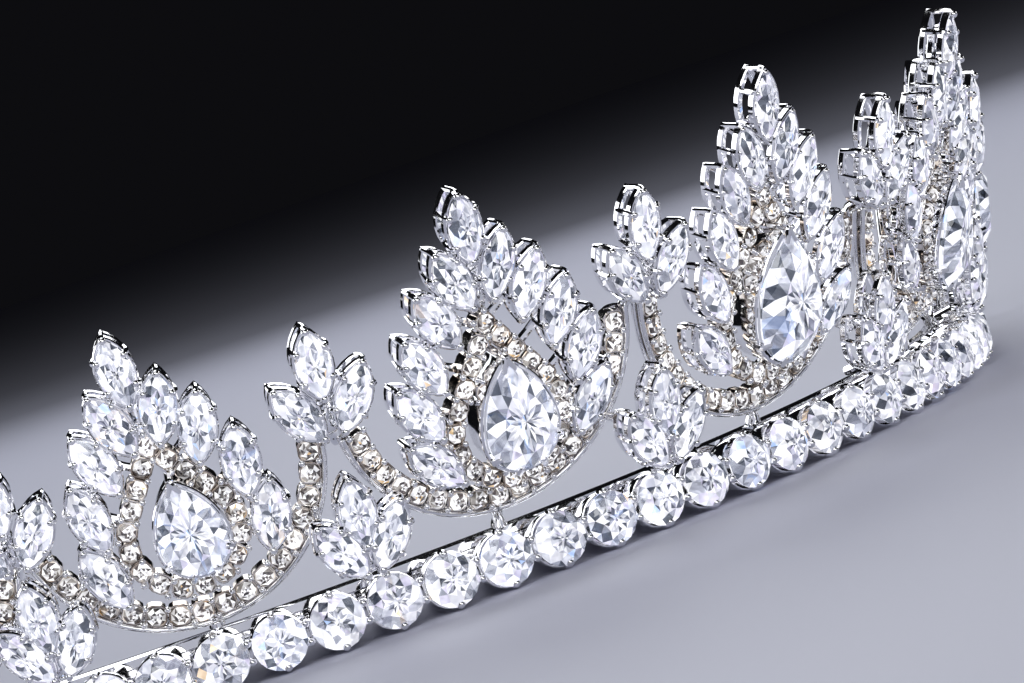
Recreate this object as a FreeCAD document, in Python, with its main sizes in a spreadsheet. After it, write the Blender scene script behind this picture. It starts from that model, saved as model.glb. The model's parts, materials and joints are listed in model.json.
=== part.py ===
import FreeCAD, Part
import math
import os

from FreeCAD import Vector

# Diadem: a metal base rail with a row of round stones, seven garlands, a leaf motif on each garland
# and a stone cluster above and below each place where two garlands meet.
# Millimetres, +Z up, the front faces -Y, and the base rail stands on Z = 0.

doc = FreeCAD.newDocument("diadem")

# Driving dimensions
SIZES = [
    ("stonePitch", 5.9, "distance between round stones along the stone line"),
    ("roundStones", 39, "round stones on the base rail"),
    ("stoneHeight", 3.1, "centre of the round stones above the ground"),
    ("roundDiameter", 5.4, "round stone"),
    ("stoneStandoff", 5.1, "stone line in front of the rail's centre line"),
    ("railHeight", 6.0, "base rail, bottom to top"),
    ("railThickness", 1.3, "base rail, front to back"),
    ("railGroove", 0.35, "depth of the groove that parts the rail's two bars"),
    ("originDepth", 26.0, "origin behind the front of the stone line"),
    ("clearance", 0.12, "air round each stone"),
    ("solderGap", 0.15, "gap between two castings"),
    ("cupWall", 0.5, "wall of a stone's cup"),
    ("paveWidth", 2.2, "channel of small stones"),
    ("garlandBack", -1.1, "back of a garland, from its plane"),
    ("garlandFront", 0.8, "front of a garland"),
    ("leafBack", 0.98, "back of the leaf motif"),
    ("leafFront", 3.8, "front rim of its cups"),
    ("channelFront", 3.2, "front of its channel"),
    ("pearFront", 5.7, "front rim of a pear stone's cup"),
    ("clusterBack", 1.0, "back of a cluster"),
    ("clusterFront", 3.7, "front rim of its cups"),
    ("marquiseLength", 7.0, "marquise stone"),
    ("marquiseWidth", 3.3, "marquise stone"),
    ("wireRadius", 0.36, "wire under a garland"),
    ("rodRadius", 0.38, "rod above a pear stone"),
    ("ribRadius", 0.45, "bar that holds a marquise cup"),
    ("postRadius", 0.75, "post under a garland"),
    ("hubRadius", 1.2, "round hub of a cluster"),
    ("hubDepth", 1.0, "round hub of a cluster, back to front"),
    ("footRadius", 0.48, "foot of a cluster"),
    ("ridge", 1.85, "clusters in front of the garlands' planes where two of these meet"),
    ("postRise", 0.25, "foot of a post above the rail"),
    ("frontWire", 0.45, "front wire under a garland, from its plane"),
    ("backWire", -0.35, "back wire under a garland, from its plane"),
    ("grooveDrop", 1.7, "bottom of the rail's groove below the rail's top"),
    ("grooveWidth", 0.5, "width of that groove"),
    ("cupFoot", 1.7, "radius of a round stone's cup at its back"),
    ("cupFloor", 0.3, "floor and rim of a round stone's cup"),
    ("roundTable", 0.57, "table of a round stone, as a share of its width"),
    ("marquiseTable", 0.6, "table of a marquise stone"),
    ("pearTable", 0.62, "table of a pear stone"),
    ("smallGirdle", 0.15, "edge of a round or marquise stone"),
    ("pearGirdle", 0.2, "edge of a pear stone"),
    ("stoneRise", 0.1, "top of that edge above the rim of its cup"),
    ("crownHub", 1.6, "hub of an upper cluster above the garlands' ends"),
    ("footHub", 5.1, "hub of a lower cluster above the round stones' centre"),
]

# The stone line seen from above, from the front centre outwards: radius, tangent angle at its end
PLAN = [(84.0, 26.0), (95.0, 47.0), (260.0, 56.6)]

# Motifs from the front centre outwards. All heights are from the round stones' centre.
# station along the stone line, lean, turn of the leaf away from the centre and shift of its foot towards
# it, garland radius and bottom, shift of its post, drop frame radius, bottom and apex, pear stone width,
# length and bottom, height of the apex marquise
MOTIFS = {
    "centre": dict(station=0.0, lean=21.8, fan=0.0, shift=0.0, garland=15.0, low=6.2, post=0.0, aside=0.0,
                   drop=6.5, base=9.2, apex=27.4, pearWidth=9.2, pearLength=13.2, pearLow=10.9, top=36.9),
    "inner": dict(station=32.5, lean=22.4, fan=3.5, shift=1.1, garland=14.4, low=6.6, post=1.2, aside=0.0,
                  drop=5.75, base=9.0, apex=25.6, pearWidth=7.6, pearLength=11.4, pearLow=10.8, top=35.9),
    "outer": dict(station=64.3, lean=14.1, fan=2.5, shift=0.4, garland=14.1, low=5.35, post=0.0, aside=0.8,
                  drop=5.4, base=8.6, apex=23.4, pearWidth=6.6, pearLength=9.4, pearLow=10.4, top=31.5),
    "side": dict(station=94.8, lean=17.0, fan=2.0, shift=0.3, garland=13.3, low=5.4, post=0.0, aside=0.0,
                 drop=4.7, base=8.3, apex=21.0, pearWidth=5.6, pearLength=8.0, pearLow=9.9, top=28.2),
}

# Marquise stones on one side of each leaf motif: across, up, turn from upright
LEAVES = {
    "centre": [(2.6, 32.2, 20), (5.2, 29.0, 25), (7.2, 24.9, 24), (8.9, 19.9, 27), (9.4, 14.2, 38)],
    "inner": [(2.4, 31.2, 21), (5.0, 28.0, 26), (7.4, 24.1, 24), (9.0, 19.6, 27), (8.6, 14.0, 38)],
    "outer": [(2.4, 26.8, 18), (5.15, 23.7, 18), (7.7, 19.0, 9), (8.4, 12.9, 18)],
    "side": [(2.4, 23.7, 18), (4.9, 20.9, 18), (6.65, 16.8, 14), (7.8, 11.2, 26)],
}

# Places where two garlands meet: station, lean, height of the garlands' ends
JUNCTIONS = {
    "centre": dict(station=16.25, lean=21.3, top=21.0),
    "inner": dict(station=48.4, lean=17.5, top=18.2),
    "outer": dict(station=79.5, lean=14.5, top=15.2),
    "end": dict(station=110.1, lean=17.0, top=15.0),
}

# Marquise stones of a cluster: across, up, turn. The crown's heights are above the garlands' ends.
CROWN = [(0.0, 8.4, 0), (-2.75, 4.1, -30), (2.75, 4.1, 30)]
FOOT = [(0.0, 11.0, 0), (-2.5, 7.8, -30), (2.5, 7.8, 30)]


sheet = doc.addObject("Spreadsheet::Sheet", "Sizes")
cells = list(SIZES)
for table, note in ((MOTIFS, "motif"), (JUNCTIONS, "junction")):
    for kind, values in table.items():
        for key, value in values.items():
            cells.append((kind + key[0].upper() + key[1:] + note.capitalize(), value, note + " " + kind))
for row, (alias, value, note) in enumerate(cells, start=1):
    sheet.set("A%d" % row, alias)
    sheet.set("B%d" % row, str(value))
    sheet.set("C%d" % row, note)
    sheet.setAlias("B%d" % row, alias)
doc.recompute()


def size(alias):
    return float(sheet.get(alias))


def plan_point(station):
    """Point and tangent angle on the stone line at a length from the front centre."""
    left = abs(station)
    x = 0.0
    y = 0.0
    start = 0.0
    for radius, end in PLAN:
        a = math.radians(start)
        b = math.radians(end)
        length = radius * (b - a)
        step = min(left, length)
        turn = a + step / radius
        x += radius * (math.sin(turn) - math.sin(a))
        y += radius * (math.cos(a) - math.cos(turn))
        left -= step
        start = end
        if left <= 0:
            break
    side = -1 if station < 0 else 1
    return Vector(side * x, y - size("originDepth"), 0), side * turn


def station_frame(station, lean, forward):
    """Placement of a plane at a station: X along the rail, Y up with the lean, Z outwards."""
    point, turn = plan_point(station)
    out = Vector(math.sin(turn), -math.cos(turn), 0)
    along = Vector(math.cos(turn), math.sin(turn), 0)
    tilt = math.radians(lean)
    up = out * math.sin(tilt) + Vector(0, 0, math.cos(tilt))
    face = out * math.cos(tilt) - Vector(0, 0, math.sin(tilt))
    base = point + out * forward + Vector(0, 0, size("stoneHeight"))
    matrix = FreeCAD.Matrix(along.x, up.x, face.x, base.x,
                            along.y, up.y, face.y, base.y,
                            along.z, up.z, face.z, base.z,
                            0, 0, 0, 1)
    return FreeCAD.Placement(matrix)


def motif_frame(kind, side):
    row = MOTIFS[kind]
    return station_frame(side * row["station"], row["lean"], -size("stoneStandoff"))


def leaf_frame(kind, side):
    """The leaf stands a little turned on the garland: about its foot, away from the centre."""
    row = MOTIFS[kind]
    foot = Vector(0, row["base"], 0)
    shift = FreeCAD.Placement(Vector(-side * row["shift"], 0, 0), FreeCAD.Rotation())
    turn = FreeCAD.Placement(Vector(0, 0, 0), FreeCAD.Rotation(Vector(0, 0, 1), -side * row["fan"]), foot)
    return motif_frame(kind, side).multiply(shift).multiply(turn)


def junction_frame(kind, side):
    """Clusters stand on the ridge where two flat garlands meet."""
    row = JUNCTIONS[kind]
    return station_frame(side * row["station"], row["lean"], size("ridge") - size("stoneStandoff"))


# Outlines in a flat plane, each a closed wire grown by an offset


def lens_wire(length, width, grow):
    """Marquise outline along Y: two arcs that meet in points."""
    half_l = length / 2
    half_w = width / 2
    radius = (half_l ** 2 + half_w ** 2) / (2 * half_w) + grow
    centre = (half_l ** 2 - half_w ** 2) / (2 * half_w)
    tip = math.sqrt(radius ** 2 - centre ** 2)
    side = half_w + grow
    right = Part.Arc(Vector(0, -tip, 0), Vector(side, 0, 0), Vector(0, tip, 0))
    left = Part.Arc(Vector(0, tip, 0), Vector(-side, 0, 0), Vector(0, -tip, 0))
    return Part.Wire([right.toShape(), left.toShape()])


def pear_wire(length, width, grow):
    """Pear outline: half circle below, two arcs up to the tip. The origin is the half circle's centre."""
    half = width / 2
    rise = length - half
    radius = (rise ** 2 + half ** 2) / width + grow
    centre = radius - grow - half
    tip = math.sqrt(radius ** 2 - centre ** 2)
    side = half + grow
    angle = math.atan2(tip, centre) / 2
    mid_x = radius * math.cos(angle) - centre
    mid_y = radius * math.sin(angle)
    bowl = Part.Arc(Vector(-side, 0, 0), Vector(0, -side, 0), Vector(side, 0, 0))
    right = Part.Arc(Vector(side, 0, 0), Vector(mid_x, mid_y, 0), Vector(0, tip, 0))
    left = Part.Arc(Vector(0, tip, 0), Vector(-mid_x, mid_y, 0), Vector(-side, 0, 0))
    return Part.Wire([bowl.toShape(), right.toShape(), left.toShape()])


def drop_wire(radius, rise, grow):
    """Drop outline: a circle and its two tangents up to a point. The origin is the circle's centre."""
    half_angle = math.asin(radius / rise)
    r = radius + grow
    tip = rise + grow / math.sin(half_angle)
    touch = Vector(r * math.cos(half_angle), r * math.sin(half_angle), 0)
    mirror = Vector(-touch.x, touch.y, 0)
    bowl = Part.Arc(mirror, Vector(0, -r, 0), touch)
    right = Part.LineSegment(touch, Vector(0, tip, 0))
    left = Part.LineSegment(Vector(0, tip, 0), mirror)
    return Part.Wire([bowl.toShape(), right.toShape(), left.toShape()])


def prism(wire, low, high):
    face = Part.Face(wire)
    face.translate(Vector(0, 0, low))
    return face.extrude(Vector(0, 0, high - low))


def placed(shape, x, y, turn):
    """Turns a shape clockwise from upright and moves it in its plane."""
    copy = shape.copy()
    copy.rotate(Vector(0, 0, 0), Vector(0, 0, 1), -turn)
    copy.translate(Vector(x, y, 0))
    return copy


def bar(start, end, radius):
    """Round bar between two points."""
    run = end - start
    return Part.makeCylinder(radius, run.Length, start, run)


# Cut stones


def cut_stone(outline, girdle, crown, table, depth, rise):
    """Stone with a flat table, a facet to each side of its outline above and below, and a point below.

    The outline is scaled towards its own middle for the table, and the girdle's top is at rise.
    """
    count = len(outline)
    middle = Vector(0, 0, 0)
    for point in outline:
        middle += point / count

    def ring(scale, height):
        points = [middle + (point - middle) * scale for point in outline]
        return [Vector(point.x, point.y, height) for point in points]

    upper = ring(1.0, rise)
    lower = ring(1.0, rise - girdle)
    flat = ring(table, rise + crown)
    point = Vector(middle.x, middle.y, rise - girdle - depth)
    faces = [Part.Face(Part.makePolygon(flat + [flat[0]]))]
    for i in range(count):
        j = (i + 1) % count
        for side in ([flat[i], upper[i], upper[j], flat[j]],
                     [upper[i], lower[i], lower[j], upper[j]],
                     [lower[i], point, lower[j]]):
            faces.append(Part.Face(Part.makePolygon(side + [side[0]])))
    solid = Part.Solid(Part.makeShell(faces))
    if solid.Volume < 0:
        solid.reverse()
    return solid


def round_outline(diameter, count):
    steps = [2 * math.pi * (i + 0.5) / count for i in range(count)]
    return [Vector(diameter / 2 * math.cos(a), diameter / 2 * math.sin(a), 0) for a in steps]


def marquise_outline(length, width, steps):
    """Points on the two arcs, from tip to tip and back."""
    half_l = length / 2
    half_w = width / 2
    radius = (half_l ** 2 + half_w ** 2) / (2 * half_w)
    centre = radius - half_w
    reach = math.asin(half_l / radius)
    points = []
    for side in (1, -1):
        for i in range(steps):
            a = side * (-reach + 2 * reach * i / steps)
            points.append(Vector(side * (radius * math.cos(a) - centre), radius * math.sin(a), 0))
    return points


def pear_outline(length, width, low_steps, high_steps):
    half = width / 2
    rise = length - half
    radius = (rise ** 2 + half ** 2) / width
    centre = radius - half
    reach = math.atan2(rise, centre)
    points = []
    for i in range(high_steps):
        a = reach * i / high_steps
        points.append(Vector(radius * math.cos(a) - centre, radius * math.sin(a), 0))
    for i in range(high_steps, 0, -1):
        a = reach * i / high_steps
        points.append(Vector(centre - radius * math.cos(a), radius * math.sin(a), 0))
    for i in range(low_steps):
        a = math.pi + math.pi * i / low_steps
        points.append(Vector(half * math.cos(a), half * math.sin(a), 0))
    return points


def round_stone():
    d = size("roundDiameter")
    return cut_stone(round_outline(d, 12), size("smallGirdle"), 0.16 * d, size("roundTable"), 0.42 * d, 0)


def marquise_stone(rim):
    w = size("marquiseWidth")
    outline = marquise_outline(size("marquiseLength"), w, 5)
    rise = rim + size("stoneRise")
    return cut_stone(outline, size("smallGirdle"), 0.18 * w, size("marquiseTable"), 0.44 * w, rise)


def pear_stone(row, rim):
    w = row["pearWidth"]
    outline = pear_outline(row["pearLength"], w, 6, 4)
    rise = rim + size("stoneRise")
    return cut_stone(outline, size("pearGirdle"), 0.17 * w, size("pearTable"), 0.4 * w, rise)


# Metal parts


def marquise_cup(back, front):
    length = size("marquiseLength")
    width = size("marquiseWidth")
    gap = size("clearance")
    return prism(lens_wire(length, width, gap + size("cupWall")), back, front)


def marquise_pocket(back, front):
    wire = lens_wire(size("marquiseLength"), size("marquiseWidth"), size("clearance"))
    return prism(wire, back - 0.5, front + 2)


def mirrored(rows):
    """Rows for both sides: across, up, turn."""
    return [(s * x, y, s * turn) for x, y, turn in rows for s in (-1, 1)]


def leaf_rows(kind):
    return [(0.0, MOTIFS[kind]["top"], 0)] + mirrored(LEAVES[kind])


def nearest_on_drop(row, x, y):
    """Point on the drop frame's middle line that is nearest to a point."""
    centre = row["base"] + row["drop"]
    rise = row["apex"] - centre
    half_angle = math.asin(row["drop"] / rise)
    side = -1 if x < 0 else 1
    dx = abs(x)
    dy = y - centre
    run = Vector(-math.sin(half_angle), math.cos(half_angle), 0)
    touch = Vector(row["drop"] * math.cos(half_angle), row["drop"] * math.sin(half_angle), 0)
    along = (Vector(dx, dy, 0) - touch).dot(run)
    if along > 0:
        longest = row["drop"] / math.tan(half_angle)
        near = touch + run * min(along, longest)
    else:
        near = Vector(dx, dy, 0) * (row["drop"] / math.hypot(dx, dy))
    return Vector(side * near.x, near.y + centre, 0)


def pear_middle(kind, side):
    """Middle of the pear stone's half circle. It stands a little towards the centre on the outer leaves."""
    row = MOTIFS[kind]
    return Vector(-side * row["aside"], row["pearLow"] + row["pearWidth"] / 2, 0)


def leaf_metal(kind, side):
    """Drop frame, marquise cups and their ribs, pear cup and rod, soldered into one piece."""
    row = MOTIFS[kind]
    back = size("leafBack")
    front = size("leafFront")
    half = size("paveWidth") / 2
    centre = row["base"] + row["drop"]
    rise = row["apex"] - centre
    channel = prism(drop_wire(row["drop"], rise, half), back, size("channelFront"))
    window = prism(drop_wire(row["drop"], rise, -half), back - 1, front + 1)
    channel = channel.cut(window)
    channel.translate(Vector(0, centre, 0))
    solids = []
    pockets = []
    for x, y, turn in leaf_rows(kind):
        solids.append(placed(marquise_cup(back, front), x, y, turn))
        pockets.append(placed(marquise_pocket(back, front), x, y, turn))
        near = nearest_on_drop(row, x, y)
        start = Vector(near.x, near.y, back + 0.5)
        solids.append(bar(start, Vector(x, y, back + 0.5), size("ribRadius")))
    middle = pear_middle(kind, side)
    wall = size("cupWall") + size("clearance")
    cup = prism(pear_wire(row["pearLength"], row["pearWidth"], wall), back + 0.6, size("pearFront"))
    hole = prism(pear_wire(row["pearLength"], row["pearWidth"], size("clearance")), back - 1, 12)
    cup.translate(middle)
    hole.translate(middle)
    tip = Vector(middle.x, row["pearLow"] + row["pearLength"] - 0.2, back + 1.2)
    rod = bar(tip, Vector(0, row["apex"] - 0.4, back + 1.2), size("rodRadius"))
    ledge = Part.makeBox(2.0, 1.8, 1.4, Vector(middle.x / 2 - 1.0, row["base"] + 0.4, back + 0.3))
    metal = channel.multiFuse(solids + [cup, ledge])
    metal = metal.cut(Part.makeCompound(pockets + [hole]))
    return metal.fuse(rod.cut(hole)).removeSplitter()


def leaf_stones(kind):
    stone = marquise_stone(size("leafFront"))
    return Part.makeCompound([placed(stone, x, y, turn) for x, y, turn in leaf_rows(kind)])


def arc_end(row, top):
    """Angle from straight down at which a garland's arc reaches a height."""
    centre = row["low"] + row["garland"]
    return math.acos(max(-1.0, min(1.0, (centre - top) / row["garland"])))


def cluster_metal(rows, hub, foot):
    """Marquise cups on a small round hub, with a foot behind and below it."""
    back = size("clusterBack")
    front = size("clusterFront")
    solids = [Part.makeCylinder(size("hubRadius"), size("hubDepth"), Vector(0, hub, back))]
    pockets = []
    for x, y, turn in rows:
        solids.append(placed(marquise_cup(back, front), x, y, turn))
        pockets.append(placed(marquise_pocket(back, front), x, y, turn))
        solids.append(bar(Vector(0, hub, back + 0.6), Vector(x, y, back + 0.6), size("ribRadius")))
    solids.append(bar(foot[0], foot[1], size("footRadius")))
    metal = solids[0].multiFuse(solids[1:])
    return metal.cut(Part.makeCompound(pockets)).removeSplitter()


def crown_rows(kind):
    top = JUNCTIONS[kind]["top"]
    return [(x, y + top, turn) for x, y, turn in CROWN]


def crown_metal(kind):
    """Three cups fanned above the garlands' ends."""
    top = JUNCTIONS[kind]["top"]
    hub = top + size("crownHub")
    foot = (Vector(0, hub, 1.6), Vector(0, top + 0.5, 0.2))
    return cluster_metal(crown_rows(kind), hub, foot)


def foot_metal():
    """Three cups fanned upwards from the rail."""
    hub = size("footHub")
    foot = (Vector(0, hub, 1.5), Vector(0, 3.8, -0.9))
    return cluster_metal(FOOT, hub, foot)


def cluster_stones(kind):
    stone = marquise_stone(size("clusterFront"))
    rows = crown_rows(kind) + FOOT
    return Part.makeCompound([placed(stone, x, y, turn) for x, y, turn in rows])


# Base rail: a padded outline of arcs, with a groove, and a conical cup for each round stone


def plan_arcs(offset):
    """Arcs of one side of the rail, offset inwards from the stone line: centre, radius, angles."""
    rows = []
    start = 0.0
    x = 0.0
    y = 0.0
    for radius, end in PLAN:
        a = math.radians(start)
        b = math.radians(end)
        centre = Vector(x - radius * math.sin(a), y + radius * math.cos(a) - size("originDepth"), 0)
        rows.append((centre, radius - offset, a, b))
        x += radius * (math.sin(b) - math.sin(a))
        y += radius * (math.cos(a) - math.cos(b))
        start = end
    return rows


def rail_line(offset):
    """Edges along the whole rail from its left end to its right end."""
    right = []
    left = []
    for centre, radius, a, b in plan_arcs(offset):
        points = []
        for angle in (a, (a + b) / 2, b):
            points.append(centre + Vector(radius * math.sin(angle), -radius * math.cos(angle), 0))
        right.append(Part.Arc(*points).toShape())
        flipped = [Vector(-p.x, p.y, 0) for p in reversed(points)]
        left.append(Part.Arc(*flipped).toShape())
    return list(reversed(left)) + right


def strip_outline(front, back):
    """Closed wire between two offsets of the stone line, with rounded ends."""
    outer = rail_line(front)
    inner = rail_line(back)
    turn = math.radians(PLAN[-1][1])
    edges = outer + inner
    for side in (-1, 1):
        edge_out = outer[-1 if side > 0 else 0]
        edge_in = inner[-1 if side > 0 else 0]
        a = edge_out.Vertexes[-1 if side > 0 else 0].Point
        b = edge_in.Vertexes[-1 if side > 0 else 0].Point
        along = Vector(side * math.cos(turn), math.sin(turn), 0)
        middle = (a + b) / 2 + along * ((a - b).Length / 2)
        edges.append(Part.Arc(a, middle, b).toShape())
    return Part.Wire(Part.__sortEdges__(edges))


def stone_station(index):
    count = int(size("roundStones"))
    return (index - (count - 1) / 2) * size("stonePitch")


def round_stones(first, last):
    stones = []
    for i in range(first, last):
        stone = round_stone()
        stone.Placement = station_frame(stone_station(i), 0, 0)
        stones.append(stone)
    return Part.makeCompound(stones)


# Sub-parts as document objects


def add_part(label, shape, placement=FreeCAD.Placement()):
    piece = doc.addObject("Part::Feature", label)
    piece.Label = label
    piece.Shape = shape
    piece.Placement = placement.multiply(shape.Placement)
    return piece


def add_solid(kind, label, placement, **formulas):
    """Primitive whose dimensions are formulas of the sheet's values, or plain numbers."""
    solid = doc.addObject("Part::" + kind, label)
    solid.Label = label
    for name, formula in formulas.items():
        if isinstance(formula, str):
            solid.setExpression(name, formula)
        else:
            setattr(solid, name, formula)
    solid.Placement = placement
    return solid


def add_union(label, solids, placement=FreeCAD.Placement()):
    union = doc.addObject("Part::MultiFuse", label)
    union.Label = label
    union.Shapes = solids
    union.Refine = False
    union.Placement = placement
    return union


def add_cut(label, base, tool):
    cut = doc.addObject("Part::Cut", label)
    cut.Label = label
    cut.Base = base
    cut.Tool = tool
    cut.Refine = False
    return cut


def add_garland(label, kind, side, tops, place):
    """U-shaped channel for small stones, two wires under it, and the post that stands on the rail."""
    row = MOTIFS[kind]
    radius = "Sizes.%sGarlandMotif" % kind
    left = math.degrees(arc_end(row, tops[0]))
    sweep = left + math.degrees(arc_end(row, tops[1]))
    middle = Vector(0, row["low"] + row["garland"], 0)
    turn = FreeCAD.Rotation(Vector(0, 0, 1), -90 - left)
    back = FreeCAD.Placement(middle + Vector(0, 0, size("garlandBack")), turn)
    below = FreeCAD.Placement(middle + Vector(0, 0, size("garlandBack") - 1), turn)
    disc = add_solid("Cylinder", label + "_disc", back, Radius=radius + " + Sizes.paveWidth / 2",
                     Height="Sizes.garlandFront - Sizes.garlandBack", Angle=sweep)
    hole = add_solid("Cylinder", label + "_hole", below, Radius=radius + " - Sizes.paveWidth / 2",
                     Height="Sizes.garlandFront - Sizes.garlandBack + 2")
    solids = [add_cut(label + "_channel", disc, hole)]
    for name, depth in (("front", size("frontWire")), ("back", size("backWire"))):
        spot = FreeCAD.Placement(middle + Vector(0, 0, depth), turn)
        solids.append(add_solid("Torus", label + "_" + name + "_wire", spot,
                                Radius1=radius + " + Sizes.paveWidth / 2 + Sizes.wireRadius * 0.6",
                                Radius2="Sizes.wireRadius", Angle3=sweep))
    low = size("railHeight") - size("stoneHeight") + size("solderGap") + size("postRise")
    spot = FreeCAD.Placement(Vector(side * row["post"], low, 0), FreeCAD.Rotation(Vector(1, 0, 0), -90))
    reach = row["low"] - size("paveWidth") / 2 + 0.3 - low
    solids.append(add_solid("Cylinder", label + "_post", spot, Radius="Sizes.postRadius", Height=reach))
    return add_union(label, solids, place)


def add_strip(label, front, back, low, height):
    """Strip that follows the stone line between two offsets of it."""
    outline = add_part(label + "_outline", strip_outline(front, back))
    strip = doc.addObject("Part::Extrusion", label)
    strip.Label = label
    strip.Base = outline
    strip.DirMode = "Custom"
    strip.Dir = Vector(0, 0, 1)
    strip.Solid = True
    strip.setExpression("LengthFwd", height)
    strip.Placement = FreeCAD.Placement(Vector(0, 0, low), FreeCAD.Rotation())
    return strip


def add_rail():
    """Strip with a groove along its front, and a conical cup in front of it for each round stone."""
    half = size("railThickness") / 2
    line = size("stoneStandoff")
    strip = add_strip("rail_strip", line - half, line + half, 0, "Sizes.railHeight")
    groove = add_strip("rail_groove", line - half - 1, line - half + size("railGroove"),
                       size("railHeight") - size("grooveDrop"), "Sizes.grooveWidth")
    floor = size("cupFloor")
    depth = line - half + floor
    cups = []
    pockets = []
    for i in range(int(size("roundStones"))):
        frame = station_frame(stone_station(i), 0, 0)
        back = frame.multiply(FreeCAD.Placement(Vector(0, 0, -depth), FreeCAD.Rotation()))
        inside = frame.multiply(FreeCAD.Placement(Vector(0, 0, floor - depth), FreeCAD.Rotation()))
        cups.append(add_solid("Cone", "rail_cup_%d" % (i + 1), back, Radius1="Sizes.cupFoot + Sizes.cupFloor",
                              Radius2="Sizes.roundDiameter / 2 + Sizes.clearance + 0.2",
                              Height=depth - 0.2))
        pockets.append(add_solid("Cone", "rail_pocket_%d" % (i + 1), inside, Radius1="Sizes.cupFoot",
                                 Radius2="Sizes.roundDiameter / 2 + Sizes.clearance", Height=depth - 0.2))
    grooved = add_cut("rail_grooved_strip", strip, groove)
    metal = add_union("rail_solid", [grooved] + cups)
    return add_cut("base_rail", metal, add_union("rail_pockets", pockets))


pieces = [add_rail()]
half_row = int(size("roundStones")) // 2
pieces.append(add_part("rail_stones_left", round_stones(0, half_row)))
pieces.append(add_part("rail_stones_right", round_stones(half_row, int(size("roundStones")))))

inner_side = {"centre": "centre", "inner": "centre", "outer": "inner", "side": "outer"}
outer_side = {"centre": "centre", "inner": "inner", "outer": "outer", "side": "end"}
for kind in MOTIFS:
    near = JUNCTIONS[inner_side[kind]]["top"]
    far = JUNCTIONS[outer_side[kind]]["top"]
    stones = leaf_stones(kind)
    for side, word in ((-1, "left"), (1, "right")):
        if kind == "centre" and side > 0:
            continue
        name = kind if kind == "centre" else kind + "_" + word
        place = motif_frame(kind, side)
        tops = (far, near) if side < 0 else (near, far)
        pieces.append(add_garland(name + "_garland", kind, side, tops, place))
        place = leaf_frame(kind, side)
        pear = pear_stone(MOTIFS[kind], size("pearFront"))
        pear.translate(pear_middle(kind, side))
        pieces.append(add_part(name + "_leaf_setting", leaf_metal(kind, side), place))
        pieces.append(add_part(name + "_leaf_stones", stones, place))
        pieces.append(add_part(name + "_pear_stone", pear, place))

for kind in JUNCTIONS:
    upper = crown_metal(kind)
    lower = foot_metal()
    stones = cluster_stones(kind)
    for side, word in ((-1, "left"), (1, "right")):
        name = kind + "_" + word
        place = junction_frame(kind, side)
        pieces.append(add_part(name + "_upper_cluster", upper, place))
        pieces.append(add_part(name + "_lower_cluster", lower, place))
        pieces.append(add_part(name + "_cluster_stones", stones, place))

doc.recompute()

for item in doc.Objects:
    if "Invalid" in item.State or "Error" in item.State:
        raise RuntimeError("failed: " + item.Label)
for piece in pieces:
    if piece.Shape.isNull() or not piece.Shape.isValid():
        raise RuntimeError("bad shape: " + piece.Label)

os.makedirs("parts", exist_ok=True)
for piece in pieces:
    piece.Shape.exportStep("parts/" + piece.Label + ".step")
    box = piece.Shape.BoundBox
    print("%-28s solids %3d volume %8.2f  x %7.2f %7.2f  y %7.2f %7.2f  z %6.2f %6.2f" % (
        piece.Label, len(piece.Shape.Solids), piece.Shape.Volume,
        box.XMin, box.XMax, box.YMin, box.YMax, box.ZMin, box.ZMax))
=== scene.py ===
import bmesh
import bpy
import json
import math
import numpy as np
from mathutils import Matrix, Vector

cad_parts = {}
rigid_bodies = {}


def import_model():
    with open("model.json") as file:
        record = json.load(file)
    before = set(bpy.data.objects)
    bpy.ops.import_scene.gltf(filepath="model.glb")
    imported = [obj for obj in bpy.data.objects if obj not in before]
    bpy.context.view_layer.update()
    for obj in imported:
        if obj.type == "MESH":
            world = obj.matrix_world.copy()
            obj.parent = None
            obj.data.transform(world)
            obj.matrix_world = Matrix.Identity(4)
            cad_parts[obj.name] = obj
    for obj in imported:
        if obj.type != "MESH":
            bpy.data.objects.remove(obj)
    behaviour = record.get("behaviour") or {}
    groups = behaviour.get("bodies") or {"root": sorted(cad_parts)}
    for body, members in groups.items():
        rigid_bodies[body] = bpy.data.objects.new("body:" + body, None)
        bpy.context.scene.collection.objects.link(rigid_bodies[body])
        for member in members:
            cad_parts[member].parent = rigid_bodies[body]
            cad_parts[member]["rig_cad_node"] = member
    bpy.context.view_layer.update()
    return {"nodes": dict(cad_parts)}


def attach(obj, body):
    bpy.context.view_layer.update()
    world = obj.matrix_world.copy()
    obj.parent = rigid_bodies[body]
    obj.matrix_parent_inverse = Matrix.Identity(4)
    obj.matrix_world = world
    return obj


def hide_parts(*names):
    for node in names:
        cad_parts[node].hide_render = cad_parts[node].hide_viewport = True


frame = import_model()
print("frame loaded:", len(frame["nodes"]), "nodes")

mm = 0.001
turnCircle = 2 * math.pi

# Where things stand. All lengths are millimetres until a mesh is made, and all angles degrees.

diadem = {
    "arcs": [(84.0, 26.0), (95.0, 47.0), (260.0, 56.6)],  # stone line from above: radius, end direction
    "originDepth": 26.0,  # from the middle of the stone line back to the origin
    "stoneHeight": 3.1,
    "standoff": 5.1,  # from the stone line back to the motifs
    "ridge": 1.85,  # clusters stand this far ahead of the motifs
    "paveWidth": 2.2,
}

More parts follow.
